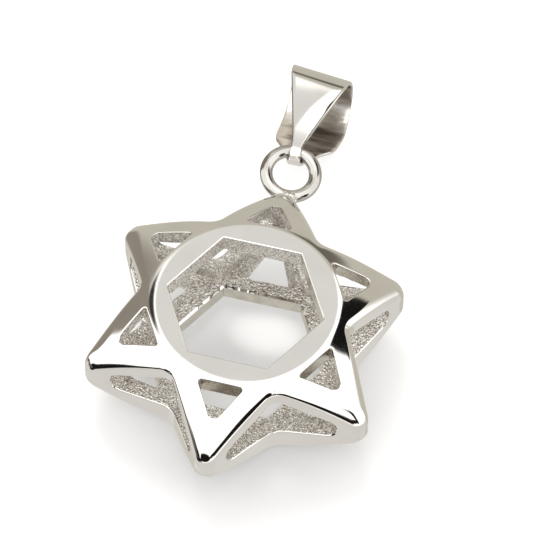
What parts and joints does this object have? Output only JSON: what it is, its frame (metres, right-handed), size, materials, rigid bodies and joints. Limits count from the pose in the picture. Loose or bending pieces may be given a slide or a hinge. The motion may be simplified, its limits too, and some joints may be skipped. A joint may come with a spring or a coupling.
{
  "type": "star of david pendant",
  "caption": "Hollow domed Star of David pendant with a pierced middle and open sides, a soldered jump ring and a folded strap bail.",
  "frame": {"origin": "middle of the underside of the whole pendant's box, as it lies on its back", "axes": "+Y from the star towards the bail, +Z out of the star's front, +X to the right seen from the front"},
  "size_m": [0.0194, 0.0332, 0.0073],
  "materials": {
    "star_metal": "polished rhodium-plated silver outside, matte as-cast inside",
    "bail_metal": "polished rhodium-plated silver strap"
  },
  "bodies": {
    "root": {"star": "star_metal", "bail": "bail_metal"}
  },
  "joints": []
}
